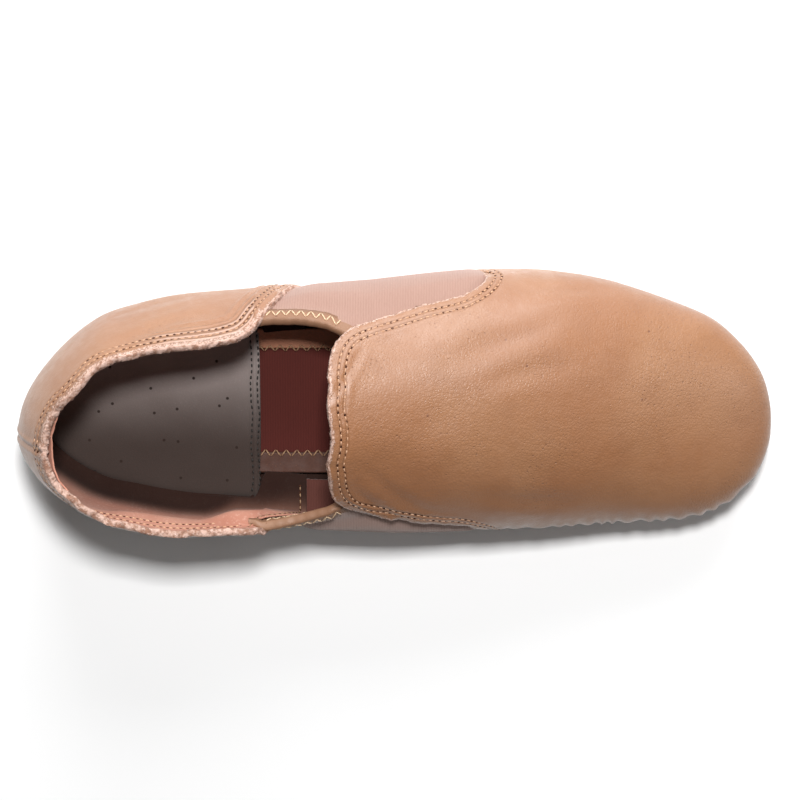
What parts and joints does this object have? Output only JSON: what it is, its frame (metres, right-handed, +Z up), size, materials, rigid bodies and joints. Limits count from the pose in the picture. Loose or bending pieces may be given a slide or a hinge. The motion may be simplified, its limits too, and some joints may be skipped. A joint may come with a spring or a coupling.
{
  "type": "slip-on jazz dance shoe",
  "caption": "Soft leather slip-on jazz dance shoe for the left foot, with elastic gores at the sides, an elastic arch and a split sole with a low heel.",
  "frame": {"origin": "on the floor, under the middle of the shoe's box", "axes": "+X towards the toe, +Y towards the outer side of the left foot, +Z up"},
  "size_m": [0.246, 0.0862, 0.0632],
  "materials": {
    "tan_leather": "soft pebbled tan leather, low sheen",
    "gore_elastic": "ribbed dusty pink elastic",
    "binding_leather": "thin folded leather strip with zigzag stitches",
    "arch_elastic": "dark red ribbed elastic",
    "pad_suede": "grey brushed microfibre",
    "insole_board": "plain brushed lining on thin board",
    "sole_rubber": "matt black rubber"
  },
  "bodies": {
    "root": {"upper": "tan_leather", "gore_lateral": "gore_elastic", "gore_medial": "gore_elastic", "binding_lateral": "binding_leather", "binding_medial": "binding_leather", "arch_panel": "arch_elastic", "heel_pad": "pad_suede", "forefoot_insole": "insole_board", "heel_sole": "sole_rubber", "forefoot_sole": "sole_rubber"}
  },
  "joints": []
}
